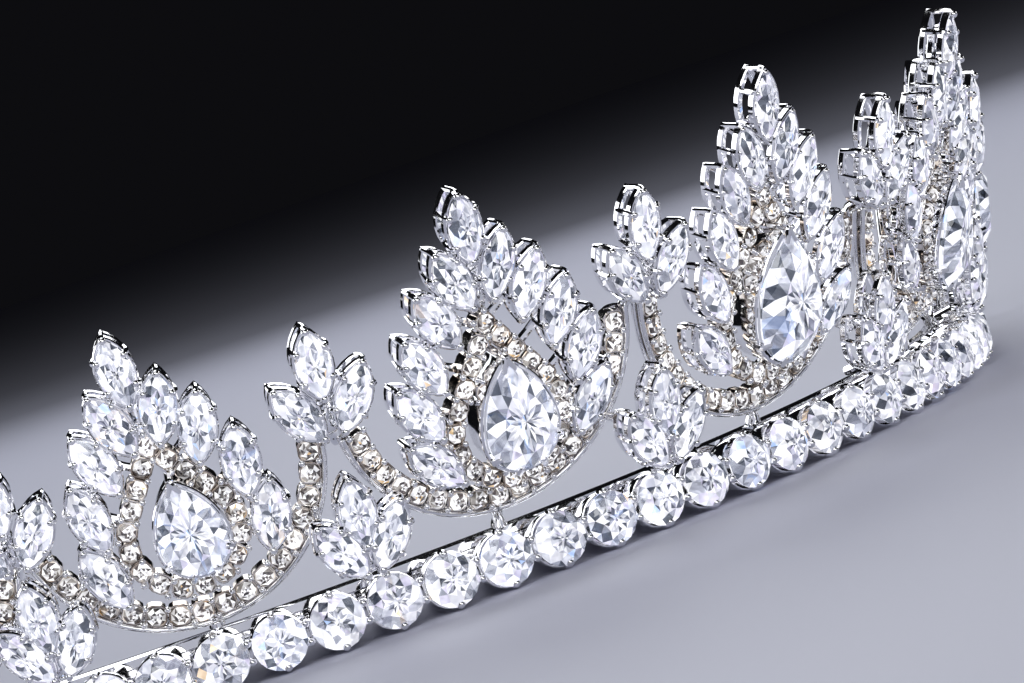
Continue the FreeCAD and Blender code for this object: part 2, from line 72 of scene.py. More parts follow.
# station along the stone line, lean back, fan and shift of the leaf; radius, lowest point and post of the
# garland; radius, base and apex of the drop; size, lowest point and offset of the pear stone; top stone
motifs = {
    "centre": dict(station=0.0, lean=21.8, fan=0.0, shift=0.0, garland=15.0, low=6.2, post=0.0, aside=0.0,
                   drop=6.5, base=9.2, apex=27.4, pearWidth=9.2, pearLength=13.2, pearLow=10.9, top=36.9),
    "inner": dict(station=32.5, lean=22.4, fan=3.5, shift=1.1, garland=14.4, low=6.6, post=1.2, aside=0.0,
                  drop=5.75, base=9.0, apex=25.6, pearWidth=7.6, pearLength=11.4, pearLow=10.8, top=35.9),
    "outer": dict(station=64.3, lean=14.1, fan=2.5, shift=0.4, garland=14.1, low=5.35, post=0.0, aside=0.8,
                  drop=5.4, base=8.6, apex=23.4, pearWidth=6.6, pearLength=9.4, pearLow=10.4, top=31.5),
    "side": dict(station=94.8, lean=17.0, fan=2.0, shift=0.3, garland=13.3, low=5.4, post=0.0, aside=0.0,
                 drop=4.7, base=8.3, apex=21.0, pearWidth=5.6, pearLength=8.0, pearLow=9.9, top=28.2),
}

leaves = {  # marquise stones on one side of a leaf: across, up, turn from upright
    "centre": [(2.6, 32.2, 20), (5.2, 29.0, 25), (7.2, 24.9, 24), (8.9, 19.9, 27), (9.4, 14.2, 38)],
    "inner": [(2.4, 31.2, 21), (5.0, 28.0, 26), (7.4, 24.1, 24), (9.0, 19.6, 27), (8.6, 14.0, 38)],
    "outer": [(2.4, 26.8, 18), (5.15, 23.7, 18), (7.7, 19.0, 9), (8.4, 12.9, 18)],
    "side": [(2.4, 23.7, 18), (4.9, 20.9, 18), (6.65, 16.8, 14), (7.8, 11.2, 26)],
}

# where two garlands meet: station along the stone line, lean back, height of the garlands' ends
junctions = {
    "centre": dict(station=16.25, lean=21.3, top=21.0),
    "inner": dict(station=48.4, lean=17.5, top=18.2),
    "outer": dict(station=79.5, lean=14.5, top=15.2),
    "end": dict(station=110.1, lean=17.0, top=15.0),
}

# stones of a cluster: across, up, turn from upright; the upper ones above the garlands' ends
crownRows = [(0.0, 8.4, 0), (-2.75, 4.1, -30), (2.75, 4.1, 30)]
footRows = [(0.0, 11.0, 0), (-2.5, 7.8, -30), (2.5, 7.8, 30)]


def planPoint(stations):
    # Adds up R(sin end - sin start) and R(cos start - cos end) over the arcs that each station passes.
    reach = np.abs(stations)
    x = np.zeros_like(reach)
    y = np.zeros_like(reach)
    turn = np.zeros_like(reach)
    start, done = 0.0, 0.0
    for i, (radius, end) in enumerate(diadem["arcs"]):
        length = radius * math.radians(end - start)
        last = i == len(diadem["arcs"]) - 1
        step = np.clip(reach - done, 0, None if last else length)
        a = math.radians(start)
        x += radius * (np.sin(a + step / radius) - math.sin(a))
        y += radius * (math.cos(a) - np.cos(a + step / radius))
        turn = np.where(reach > done, a + step / radius, turn)
        done += length
        start = end
    side = np.where(stations < 0, -1.0, 1.0)
    return side * x, y - diadem["originDepth"], side * turn


def stationFrames(stations, lean, forward):
    # 4x4 frames at stations: first axis along the rail, second out sin(lean) + up cos(lean), third out
    # cos(lean) - up sin(lean), moved forward from the stone line.
    stations = np.atleast_1d(np.asarray(stations, float))
    x, y, turn = planPoint(stations)
    zero = np.zeros_like(x)
    out = np.stack([np.sin(turn), -np.cos(turn), zero], 1)
    along = np.stack([np.cos(turn), np.sin(turn), zero], 1)
    rise = np.array([0, 0, 1.0])
    tilt = math.radians(lean)
    frames = np.zeros((len(x), 4, 4))
    frames[:, :3, 0] = along
    frames[:, :3, 1] = out * math.sin(tilt) + rise * math.cos(tilt)
    frames[:, :3, 2] = out * math.cos(tilt) - rise * math.sin(tilt)
    frames[:, :3, 3] = np.stack([x, y, zero + diadem["stoneHeight"]], 1) + out * forward
    frames[:, 3, 3] = 1
    return frames


def flatFrames(rows):
    # Frames in a flat plane from rows of across, up, clockwise turn: axes (cos, sin) and (-sin, cos).
    rows = np.asarray(rows, float)
    a = -np.radians(rows[:, 2])
    frames = np.zeros((len(rows), 4, 4))
    frames[:, 0, 0] = np.cos(a)
    frames[:, 1, 0] = np.sin(a)
    frames[:, 0, 1] = -np.sin(a)
    frames[:, 1, 1] = np.cos(a)
    frames[:, 2, 2] = 1
    frames[:, 0, 3] = rows[:, 0]
    frames[:, 1, 3] = rows[:, 1]
    frames[:, 3, 3] = 1
    return frames


def motifFrame(kind, side):
    # The stone line's frame at the motif's station, leaned back and moved back by the standoff.
    row = motifs[kind]
    return stationFrames(side * row["station"], row["lean"], -diadem["standoff"])[0]


def leafFrame(kind, side):
    # The motif's frame, shifted towards the centre and turned away from it about the drop's foot: the turned
    # frame's origin is foot - R foot + shift.
    row = motifs[kind]
    turn = flatFrames([(0, 0, side * row["fan"])])[0]
    foot = np.array([0, row["base"], 0])
    turn[:3, 3] = foot - turn[:3, :3] @ foot + np.array([-side * row["shift"], 0, 0])
    return motifFrame(kind, side) @ turn


def junctionFrame(kind, side):
    # The stone line's frame at the junction's station, moved back by the standoff less the ridge.
    row = junctions[kind]
    return stationFrames(side * row["station"], row["lean"], diadem["ridge"] - diadem["standoff"])[0]


def mirrored(rows):
    # Each row twice, with across and turn negated and as they are.
    return [(s * x, y, s * turn) for x, y, turn in rows for s in (-1, 1)]


def leafRows(kind):
    # The upright top stone, and the leaf's rows on both sides.
    return [(0.0, motifs[kind]["top"], 0)] + mirrored(leaves[kind])


# Forms. A form is (points, list of face arrays), and faces of one array have the same number of corners.

roundEnd = {"reach": 0.45, "narrow": 0.55}  # shares of the radius that a rounded end adds and keeps
steepest = 0.94  # a path this near to a tube's own axis takes another axis
slantAxis = (0.6, 0.8, 0)  # no post or claw runs along it


def joinForms(forms):
    # Stacks the points and shifts each form's faces by the number of points before it.
    points = np.concatenate([f[0] for f in forms])
    faces, shift = [], 0
    for pts, arrays in forms:
        faces += [a + shift for a in arrays]
        shift += len(pts)
    return points, faces


def placeForm(form, frames):
    # Every point of the form in every frame: R p + t.
    frames = np.asarray(frames, float).reshape(-1, 4, 4)
    points = np.einsum("nij,pj->npi", frames[:, :3, :3], form[0]) + frames[:, None, :3, 3]
    shift = (np.arange(len(frames)) * len(form[0]))[:, None, None]
    faces = [(a[None] + shift).reshape(-1, a.shape[1]) for a in form[1]]
    return points.reshape(-1, 3), faces


def gridForm(points, closeU=False, caps=True):
    # Surface over a grid of points[u, v] that closes along v: quads between neighbours, and a polygon on
    # each open end along u.
    nu, nv = points.shape[:2]
    index = np.arange(nu * nv).reshape(nu, nv)
    u = index if closeU else index[:-1]
    up = np.roll(index, -1, 0) if closeU else index[1:]
    quads = np.stack([u, up, np.roll(up, -1, 1), np.roll(u, -1, 1)], -1)
    faces = [quads.reshape(-1, 4)]
    if caps and not closeU:
        faces += [index[:1], index[-1:, ::-1]]
    return points.reshape(-1, 3), faces


def tubeForm(path, radius, sides=8, axis=(0, 0, 1.0), closed=False):
    # Circle of the radius about each path point, square to the path's direction: point + r (across cos a +
    # other sin a).
    path = np.asarray(path, float)
    radii = np.broadcast_to(np.asarray(radius, float), (len(path),)).copy()
    if closed:
        run = np.roll(path, -1, 0) - np.roll(path, 1, 0)
    else:
        reach, narrow = roundEnd["reach"], roundEnd["narrow"]
        first = path[0] - (path[1] - path[0]) / np.linalg.norm(path[1] - path[0]) * radii[0] * reach
        last = path[-1] + (path[-1] - path[-2]) / np.linalg.norm(path[-1] - path[-2]) * radii[-1] * reach
        path = np.concatenate([[first], path, [last]])
        radii = np.concatenate([[radii[0] * narrow], radii, [radii[-1] * narrow]])
        run = np.gradient(path, axis=0)
    run /= np.linalg.norm(run, axis=1)[:, None]
    axis = np.asarray(axis, float)
    if np.max(np.abs(run @ axis)) > steepest:
        axis = np.array([1.0, 0, 0])
    across = np.cross(run, axis)
    across /= np.linalg.norm(across, axis=1)[:, None]
    other = np.cross(across, run)
    a = np.arange(sides) * turnCircle / sides
    ring = across[:, None] * np.cos(a)[None, :, None] + other[:, None] * np.sin(a)[None, :, None]
    return gridForm(path[:, None] + ring * radii[:, None, None], closeU=closed)


def ballForm(radius, sides, rings):
    # Sphere: rings of r sin(t) at height r cos(t), with a point at each pole.
    t = np.arange(1, rings) * math.pi / rings
    a = np.arange(sides) * turnCircle / sides
    ring = np.stack([np.sin(t)[:, None] * np.cos(a), np.sin(t)[:, None] * np.sin(a),
                     np.cos(t)[:, None] + 0 * a], -1) * radius
    points, faces = gridForm(ring, caps=False)
    count = len(points)
    points = np.concatenate([points, [[0, 0, radius], [0, 0, -radius]]])
    top = np.arange(sides)
    low = count - sides + top
    faces.append(np.stack([top, np.roll(top, -1), np.full(sides, count)], 1))
    faces.append(np.stack([np.roll(low, -1), low, np.full(sides, count + 1)], 1))
    return points, faces


def wallForm(outline, inner, outer, low, high, bevel, flare=0.0):
    # Closed wall along an outline(grow): its section runs up the outside, over the top and down the inside.
    # The bevel cuts the section's corners, and the flare draws its lower end inwards.
    section = [(outer - bevel - flare, low), (outer - flare, low + bevel), (outer, high - bevel),
               (outer - bevel, high), (inner + bevel, high), (inner, high - bevel),
               (inner - flare, low + bevel), (inner + bevel - flare, low)]
    rings = []
    for grow, z in section:
        flat = outline(grow)
        rings.append(np.column_stack([flat, np.full(len(flat), z)]))
    return gridForm(np.array(rings), closeU=True)


def atPoint(x, y, z=0.0):
    # Upright frame whose origin is the point.
    frameAt = np.eye(4)
    frameAt[:3, 3] = (x, y, z)
    return frameAt


# Outlines. An outline is a function of how far it is grown outwards, in flat points that run anticlockwise.


def lensOutline(length, width, steps=10):
    # Two arcs of radius (l^2 + w^2) / 2w that meet in points, grown outwards.
    halfL, halfW = length / 2, width / 2
    base = (halfL ** 2 + halfW ** 2) / (2 * halfW)

    def outline(grow):
        radius = base + grow
        centre = base - halfW
        reach = math.acos(centre / radius)
        a = np.linspace(-reach, reach, steps, endpoint=False)
        right = np.column_stack([radius * np.cos(a) - centre, radius * np.sin(a)])
        return np.concatenate([right, -right])

    return outline


def pearOutline(length, width, steps):
    # Half circle below and two arcs of radius (rise^2 + half^2) / width up to the tip, with the origin at
    # the half circle's centre.
    half = width / 2
    rise = length - half
    base = (rise ** 2 + half ** 2) / width

    def outline(grow):
        radius = base + grow
        centre = base - half
        reach = math.acos(centre / radius)
        a = np.linspace(0, reach, steps // 3, endpoint=False)
        right = np.column_stack([radius * np.cos(a) - centre, radius * np.sin(a)])
        b = np.linspace(reach, 0, steps // 3, endpoint=False)
        left = np.column_stack([centre - radius * np.cos(b), radius * np.sin(b)])
        c = math.pi + np.linspace(0, math.pi, steps - 2 * (steps // 3), endpoint=False)
        bowl = (half + grow) * np.column_stack([np.cos(c), np.sin(c)])
        return np.concatenate([right, left, bowl])

    return outline


def dropPath(radius, rise, count, steps=90):
    # Points at equal lengths along a circle and its two tangents up to the apex, with their directions. The
    # tangents touch the circle at the angle arcsin(radius / rise) above its middle.
    halfAngle = math.asin(radius / rise)
    a = np.linspace(halfAngle, -math.pi - halfAngle, steps)
    bowl = radius * np.column_stack([np.cos(a), np.sin(a)])
    line = np.concatenate([[[0, rise]], bowl, [[0, rise]]])
    return evenPoints(line, count)


def evenPoints(line, count, probe=0.05):
    # Points at equal lengths along a closed line, interpolated on its summed length. Each one's direction is
    # from the point a probe behind it to the point a probe ahead.
    lengths = np.concatenate([[0], np.cumsum(np.linalg.norm(np.diff(line, axis=0), axis=1))])
    at = np.linspace(0, lengths[-1], count, endpoint=False)
    points = np.column_stack([np.interp(at, lengths, line[:, i]) for i in range(line.shape[1])])
    ahead = np.column_stack([np.interp(at + probe, lengths, line[:, i]) for i in range(line.shape[1])])
    behind = np.column_stack([np.interp(at - probe, lengths, line[:, i]) for i in range(line.shape[1])])
    run = ahead - behind
    return points, run / np.linalg.norm(run, axis=1)[:, None]


def circleOutline(radius, count, square=1.0):
    # Circle, or with square below 1 a rounded square: cos and sin raised to that power.
    a = (np.arange(count) + 0.5) * turnCircle / count
    x = np.sign(np.cos(a)) * np.abs(np.cos(a)) ** square
    y = np.sign(np.sin(a)) * np.abs(np.sin(a)) ** square

    def outline(grow):
        return (radius + grow) * np.column_stack([x, y])

    return outline


# Cut stones. Heights and depths are shares of a stone's width, its edge and lift over the rim are lengths.

cut = {"starHeight": 0.55, "starOut": 0.02, "breakScale": 0.28, "breakDepth": 0.78,
       "shardRings": (0.78, 0.50, 0.24)}  # shares of the table

stoneCuts = {
    "marquise": dict(points=20, crown=0.18, table=0.6, depth=0.44, edge=0.15, lift=0.1),
    "pear": dict(points=32, crown=0.17, table=0.62, depth=0.4, edge=0.2, lift=0.1),
    "round": dict(points=20, crown=0.16, table=0.57, depth=0.42, edge=0.15, lift=0.0),
}

smallCut = {"sides": 8, "crown": 0.16, "table": 0.60, "shardRing": 0.36, "depth": 0.42, "edge": 0.06}


def tableShards(rings, heart, n):
    # Divides a flat table: triangles along its edge, kites cut in half between three rings in turn, then
    # triangles round the heart point. Points of every second ring stand half a step further on.
    k = np.arange(n)
    after = (k + 1) % n
    shards = [(rings[0] + k, rings[0] + after, rings[1] + k)]
    for i in range(2, len(rings)):
        a, b, c = rings[i - 2:i + 1]
        if i % 2 == 0:
            shards += [(a + after, b + after, c + after), (a + after, c + after, b + k)]
        else:
            shards += [(a + k, b + after, c + k), (a + k, c + k, b + k)]
    between = k if len(rings) % 2 else after
    shards.append((rings[-1] + k, rings[-2] + between, rings[-1] + after))
    shards.append((rings[-1] + k, rings[-1] + after, np.full(n, heart)))
    return [np.stack(s, 1) for s in shards]


def brilliantForm(girdle, middle, crown, table, depth, edge, rise):
    # Every ring is the girdle scaled about the middle: table, stars, girdle top and bottom, lower breaks and
    # the point below, then the rings that cut the flat table into shards, each of which takes a painted
    # reflection of the facets under it.
    # The girdle has an even number of points, and the table's points stand at every second one.
    girdle = np.asarray(girdle, float)
    n = len(girdle) // 2

    def ring(scale, z, which):  # middle + (point - middle) times the scale, at the height z
        flat = middle + (which - middle) * scale
        return np.column_stack([flat, np.full(len(which), z)])

    even, odd = girdle[::2], girdle[1::2]
    high = rise + crown
    wide, half, narrow = (table * share for share in cut["shardRings"])
    points = np.concatenate([
        ring(table, high, even),
        ring((1 + table) / 2 + cut["starOut"], rise + crown * cut["starHeight"], odd),
        ring(1.0, rise, girdle), ring(1.0, rise - edge, girdle),
        ring(cut["breakScale"], rise - edge - depth * cut["breakDepth"], odd),
        [[middle[0], middle[1], rise - edge - depth]],
        ring(wide, high, odd), ring(half, high, even), ring(narrow, high, odd),
        [[middle[0], middle[1], high]],
    ])
    k = np.arange(n)
    after, before = (k + 1) % n, (k - 1) % n
    star, top, low, lower, point = n, 2 * n, 4 * n, 6 * n, 7 * n
    first = point + 1
    faces = tableShards([0, first, first + n, first + 2 * n], first + 3 * n, n) + [
        np.stack([k, star + k, after], 1),
        np.stack([k, star + before, top + 2 * k, star + k], 1),
        np.stack([star + k, top + 2 * k, top + 2 * k + 1], 1),
        np.stack([star + k, top + 2 * k + 1, top + 2 * after], 1),
        np.stack([top + 2 * k, low + 2 * k, low + 2 * k + 1, top + 2 * k + 1], 1),
        np.stack([top + 2 * k + 1, low + 2 * k + 1, low + 2 * after, top + 2 * after], 1),
        np.stack([lower + k, low + 2 * k + 1, low + 2 * k], 1),
        np.stack([lower + k, low + 2 * after, low + 2 * k + 1], 1),
        np.stack([np.full(n, point), lower + k, low + 2 * k, lower + before], 1),
    ]
    return points, faces


def stoneForm(kind, girdle, middle, width, rim):
    # Brilliant cut with its girdle at the rim plus the lift, and its heights at their shares of the width.
    p = stoneCuts[kind]
    return brilliantForm(girdle, middle, p["crown"] * width, p["table"], p["depth"] * width, p["edge"],
                         rim + p["lift"])


def smallStoneForm(diameter, rise):
    # Scaled rings of n points: the table, the girdle's top and bottom, and a ring in the table half a step
    # further on, then the table's middle and the point below.
    p = smallCut
    n = p["sides"]
    outline = circleOutline(diameter / 2, n)(0)
    turned = (outline + np.roll(outline, -1, 0)) / 2
    high = rise + p["crown"] * diameter
    rings = ((outline, p["table"], high), (outline, 1.0, rise), (outline, 1.0, rise - p["edge"]),
             (turned, p["shardRing"], high))
    points = np.concatenate([np.column_stack([flat * scale, np.full(n, z)]) for flat, scale, z in rings])
    points = np.concatenate([points, [[0, 0, high], [0, 0, rise - p["depth"] * diameter]]])
    k = np.arange(n)
    after = (k + 1) % n
    girdle, edge, heart, point = n, 2 * n, 4 * n, 4 * n + 1
    faces = tableShards([0, 3 * n], heart, n)
    faces += [np.stack([k, girdle + k, after], 1), np.stack([after, girdle + k, girdle + after], 1),
              np.stack([girdle + k, edge + k, edge + after, girdle + after], 1),
              np.stack([edge + after, edge + k, np.full(n, point)], 1)]
    return points, faces


# Meshes


def makePiece(name, form, node, slot, material, smooth=None):
    # Puts a form into a mesh in metres (millimetres x 0.001), makes its normals point outwards and joins it
    # to the frame. Edges that turn by less than the smooth angle are shaded round. Each facet of a stone
    # draws a value of its own, from a seed that is the number of its facets.
    points, arrays = form
    mesh = bpy.data.meshes.new(name)
    loops = np.concatenate([a.ravel() for a in arrays]).astype(np.int32)
    totals = np.concatenate([np.full(len(a), a.shape[1]) for a in arrays]).astype(np.int32)
    starts = np.concatenate([[0], np.cumsum(totals)[:-1]]).astype(np.int32)
    mesh.vertices.add(len(points))
    mesh.vertices.foreach_set("co", (points * mm).astype(np.float32).ravel())
    mesh.loops.add(len(loops))
    mesh.loops.foreach_set("vertex_index", loops)
    mesh.polygons.add(len(totals))
    mesh.polygons.foreach_set("loop_start", starts)
    mesh.update(calc_edges=True)
    mesh.validate()
    work = bmesh.new()
    work.from_mesh(mesh)
    bmesh.ops.recalc_face_normals(work, faces=work.faces)
    work.to_mesh(mesh)
    work.free()
    if smooth:
        mesh.polygons.foreach_set("use_smooth", np.ones(len(mesh.polygons), bool))
        mesh.set_sharp_from_angle(angle=math.radians(smooth))
    # Each facet's value picks its painted reflection and painted glint in the stone materials.
    if slot == "clear_stone":
        dice = np.random.default_rng(len(mesh.polygons))
        spread = mesh.attributes.new("facetReflectionPick", "FLOAT", "FACE")
        spread.data.foreach_set("value", dice.random(len(mesh.polygons)).astype(np.float32))
    piece = bpy.data.objects.new(name, mesh)
    bpy.context.scene.collection.objects.link(piece)
    mesh.materials.append(material)
    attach(piece, "root")
    if node:
        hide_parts(node)


# Materials

polishValues = {"waveSize": 260.0, "hazeSize": 2600.0, "hazeDetail": 3, "hazeLow": 0.35, "hazeHigh": 0.75,
                "bright": 0.03, "dull": 0.12}
driftValues = {"size": 420.0, "shadeAt": 0.38, "colourAt": 0.62, "waveDepth": 0.0004}
stoneGloss = {"bending": 2.0, "roughness": 0.02}

finishes = {
    "castMetal": dict(colour=(0.97, 0.97, 0.98), shade=(0.86, 0.86, 0.89), bright=0.04, dull=0.10,
                      wave=0.04),
    # darker, browner copy of the same metal for the small stones' cups: painted shade between the stones
    "paveMetalPaintedShade": dict(colour=(0.88, 0.84, 0.80), shade=(0.42, 0.35, 0.29), bright=0.06, dull=0.16,
                      wave=0.3),
    # painted light of a stone: where each tone starts between 0 and 1, the colour through it as a painted
    # reflection (dark ones painted shade, orange and blue ones painted fire) and the colour of its painted
    # glint, given off as light
    "clearStone": dict(paintedGlintStrength=0.55, through=0.62, paintedTones=[
        (0.0, (0.98, 0.98, 1.0), (0.50, 0.50, 0.54)), (0.26, (0.84, 0.86, 0.93), (0.16, 0.17, 0.21)),
        (0.46, (0.40, 0.43, 0.50), (0.02, 0.02, 0.03)), (0.64, (1.0, 1.0, 1.0), (1.0, 1.0, 1.0)),
        (0.81, (0.04, 0.05, 0.07), (0.0, 0.0, 0.0)), (0.92, (0.90, 0.86, 1.0), (0.36, 0.33, 0.46)),
        (0.962, (1.0, 0.82, 0.58), (0.8, 0.52, 0.24)), (0.968, (0.62, 0.76, 1.0), (0.3, 0.48, 0.9)),
        (0.973, (1.0, 1.0, 1.0), (1.0, 1.0, 1.0))]),
    # painted reflections and glints of the small stones, whose dark and brown tones are painted shade
    # between them
    "smallStone": dict(paintedGlintStrength=0.7, through=0.45, paintedTones=[
        (0.0, (0.93, 0.92, 0.91), (0.22, 0.21, 0.21)), (0.20, (0.30, 0.27, 0.24), (0.01, 0.01, 0.01)),
        (0.38, (1.0, 1.0, 1.0), (1.0, 1.0, 1.0)), (0.60, (0.03, 0.02, 0.02), (0.0, 0.0, 0.0)),
        (0.84, (0.95, 0.95, 0.97), (0.50, 0.50, 0.52)), (0.965, (0.95, 0.74, 0.45), (0.5, 0.3, 0.1)),
        (0.975, (0.95, 0.96, 1.0), (0.9, 0.9, 1.0))]),
}


def newMaterial(name):
    # A material that holds one shader, joined to its output.
    material = bpy.data.materials.new(name)
    material.use_nodes = True
    material.node_tree.nodes.clear()
    shader = material.node_tree.nodes.new("ShaderNodeBsdfPrincipled")
    out = material.node_tree.nodes.new("ShaderNodeOutputMaterial")
    material.node_tree.links.new(shader.outputs[0], out.inputs[0])
    return material, material.node_tree.nodes, material.node_tree.links, shader


def polishGroup():
    # Hand polish: the height is a coarse noise, and the roughness runs from bright to dull with a fine one.
    p = polishValues
    group = bpy.data.node_groups.new("handPolish", "ShaderNodeTree")
    for name, value in (("Wave Size", p["waveSize"]), ("Haze Size", p["hazeSize"]), ("Bright", p["bright"]),
                        ("Dull", p["dull"])):
        socket = group.interface.new_socket(name, in_out="INPUT", socket_type="NodeSocketFloat")
        socket.default_value = value
    for name in ("Roughness", "Height"):
        group.interface.new_socket(name, in_out="OUTPUT", socket_type="NodeSocketFloat")
    nodes, links = group.nodes, group.links
    given = nodes.new("NodeGroupInput")
    put = nodes.new("NodeGroupOutput")
    place = nodes.new("ShaderNodeTexCoord")
    wave = nodes.new("ShaderNodeTexNoise")
    haze = nodes.new("ShaderNodeTexNoise")
    haze.inputs["Detail"].default_value = p["hazeDetail"]
    links.new(place.outputs["Object"], wave.inputs["Vector"])
    links.new(place.outputs["Object"], haze.inputs["Vector"])
    links.new(given.outputs["Wave Size"], wave.inputs["Scale"])
    links.new(given.outputs["Haze Size"], haze.inputs["Scale"])
    span = nodes.new("ShaderNodeMapRange")
    links.new(haze.outputs["Fac"], span.inputs["Value"])
    span.inputs["From Min"].default_value = p["hazeLow"]
    span.inputs["From Max"].default_value = p["hazeHigh"]
    links.new(given.outputs["Bright"], span.inputs["To Min"])
    links.new(given.outputs["Dull"], span.inputs["To Max"])
    links.new(span.outputs["Result"], put.inputs["Roughness"])
    links.new(wave.outputs["Fac"], put.inputs["Height"])
    return group


polish = polishGroup()


def metalMaterial(name, colour, shade, bright, dull, wave):
    # Mirror-bright white metal: a noise blends its shade into its colour, and the polish waves are a bump.
    p = driftValues
    material, nodes, links, shader = newMaterial(name)
    shader.inputs["Metallic"].default_value = 1.0
    group = nodes.new("ShaderNodeGroup")
    group.node_tree = polish
    group.inputs["Bright"].default_value = bright
    group.inputs["Dull"].default_value = dull
    links.new(group.outputs["Roughness"], shader.inputs["Roughness"])
    place = nodes.new("ShaderNodeTexCoord")
    drift = nodes.new("ShaderNodeTexNoise")
    drift.inputs["Scale"].default_value = p["size"]
    links.new(place.outputs["Object"], drift.inputs["Vector"])
    ramp = nodes.new("ShaderNodeValToRGB")
    stops = zip(ramp.color_ramp.elements, (p["shadeAt"], p["colourAt"]), (shade, colour))
    for element, position, tone in stops:
        element.position = position
        element.color = (*tone, 1)
    links.new(drift.outputs["Fac"], ramp.inputs["Fac"])
    links.new(ramp.outputs["Color"], shader.inputs["Base Color"])
    bump = nodes.new("ShaderNodeBump")
    bump.inputs["Strength"].default_value = wave
    bump.inputs["Distance"].default_value = p["waveDepth"]
    links.new(group.outputs["Height"], bump.inputs["Height"])
    links.new(bump.outputs["Normal"], shader.inputs["Normal"])
    return material


def stoneMaterial(name, paintedTones, paintedGlintStrength, through):
    # Clear cut stone: each facet's value picks a tone for the light through it, a painted reflection, and
    # for its own glint, a painted glint that the facet gives off as light.
    material, nodes, links, shader = newMaterial(name)
    shader.inputs["Transmission Weight"].default_value = through
    shader.inputs["IOR"].default_value = stoneGloss["bending"]
    shader.inputs["Roughness"].default_value = stoneGloss["roughness"]
    shader.inputs["Emission Strength"].default_value = paintedGlintStrength
    reflectionPick = nodes.new("ShaderNodeAttribute")
    reflectionPick.attribute_name = "facetReflectionPick"
    for index, socket in ((1, "Base Color"), (2, "Emission Color")):
        ramp = nodes.new("ShaderNodeValToRGB")
        ramp.color_ramp.interpolation = "CONSTANT"
        while len(ramp.color_ramp.elements) < len(paintedTones):
            ramp.color_ramp.elements.new(1.0)
        for element, tone in zip(ramp.color_ramp.elements, paintedTones):
            element.position = tone[0]
            element.color = (*tone[index], 1)
        links.new(reflectionPick.outputs["Fac"], ramp.inputs["Fac"])
        links.new(ramp.outputs["Color"], shader.inputs[socket])
    return material


castMetal = metalMaterial("castMetal", **finishes["castMetal"])
paveMetalPaintedShade = metalMaterial("paveMetalPaintedShade", **finishes["paveMetalPaintedShade"])
clearStone = stoneMaterial("clearStone", **finishes["clearStone"])
smallStone = stoneMaterial("smallStone", **finishes["smallStone"])
print("materials made")


def metalPiece(name, form, node=None, material=castMetal, smooth=40):
    # A form as metal, shaded round over edges that turn by less than the smooth angle.
    makePiece(name, form, node, "polished_metal", material, smooth)


def stonePiece(name, form, node=None, material=clearStone):
    # A form as stones with flat facets.
    makePiece(name, form, node, "clear_stone", material)


# Marquise baskets and rows of small stones

basket = {
    "length": 7.0, "width": 3.3, "bevel": 0.12,  # of the stone, and of both walls
    "rimGap": 0.02, "rimWall": 0.38, "rimHeight": 0.85, "rimBelow": 0.05,
    "footInset": 0.42, "footWall": 0.25, "footHeight": 0.75,
    "sideAt": 0.44,  # side posts stand at this share of half the length
    "postRadius": 0.3, "postOut": 0.32, "postIn": 0.05, "postLow": 0.2, "postBend": 0.7, "postTop": 0.1,
    "prongIn": 0.04, "prongUp": 0.2, "prongTaper": 0.9, "ballRadius": 0.44, "sideBall": 0.40, "ballUp": 0.24,
    "tuckOut": 0.2, "tuckIn": 0.4, "tuckBall": 0.3,  # how far a tuck moves posts and prongs, and thins balls
}


def basketForm(back, front, tuck=0.0):
    # Marquise basket: a rim under the stone, a smaller rim at the back, bars between them, and ball prongs.
    # A bar at the angle a stands at R (cos a, sin a) on the lens and outside it along its normal, with its
    # ball over the edge. A tuck lowers the balls and makes them smaller.
    p = basket
    lens = lensOutline(p["length"], p["width"])
    forms = [
        wallForm(lens, p["rimGap"], p["rimWall"], front - p["rimHeight"], front - p["rimBelow"], p["bevel"]),
        wallForm(lens, -p["footInset"], p["footWall"], back, back + p["footHeight"], p["bevel"]),
    ]
    halfL, halfW = p["length"] / 2, p["width"] / 2
    radius = (halfL ** 2 + halfW ** 2) / (2 * halfW)
    spots = [((0, s * halfL), (0, s), p["ballRadius"]) for s in (-1, 1)]
    a = math.asin(p["sideAt"] * halfL / radius)
    for s in (-1, 1):
        for up in (-1, 1):
            edge = (s * (radius * math.cos(a) - radius + halfW), up * p["sideAt"] * halfL)
            spots.append((edge, (s * math.cos(a), up * math.sin(a)), p["sideBall"]))
    thick = p["postRadius"]
    for edge, normal, ball in spots:
        edge, normal = np.array(edge), np.array(normal)
        low = edge - normal * p["postIn"]
        out = edge + normal * (p["postOut"] - p["tuckOut"] * tuck)
        tip = edge - normal * (p["prongIn"] + p["tuckIn"] * tuck)
        path = [(*low, back + p["postLow"]), (*out, front - p["postBend"]),
                (*out, front - p["postTop"] - tuck), (*tip, front + p["prongUp"] - tuck)]
        forms.append(tubeForm(path, [thick, thick, thick, thick * p["prongTaper"]], axis=slantAxis))
        prong = ballForm(ball - p["tuckBall"] * tuck, 8, 5)
        forms.append(placeForm(prong, atPoint(*tip, front + p["ballUp"] - tuck)))
    return joinForms(forms)


def marquiseStone(rim):
    # The lens outline as a girdle, with the cut's shares of the stone's width.
    girdle = lensOutline(basket["length"], basket["width"], stoneCuts["marquise"]["points"] // 2)(0)
    return stoneForm("marquise", girdle, np.zeros(2), basket["width"], rim)


pave = {"points": 12, "square": 0.62, "wall": 0.22, "below": 0.2, "bevel": 0.07,
        "floorGap": 0.05, "floorWall": 0.1, "floorLow": 0.05, "floorHigh": 0.5, "floorBevel": 0.04,
        "bead": 0.34, "beadAt": 0.74, "beadUp": 0.1, "stoneGap": 0.3, "stoneBelow": 0.05}


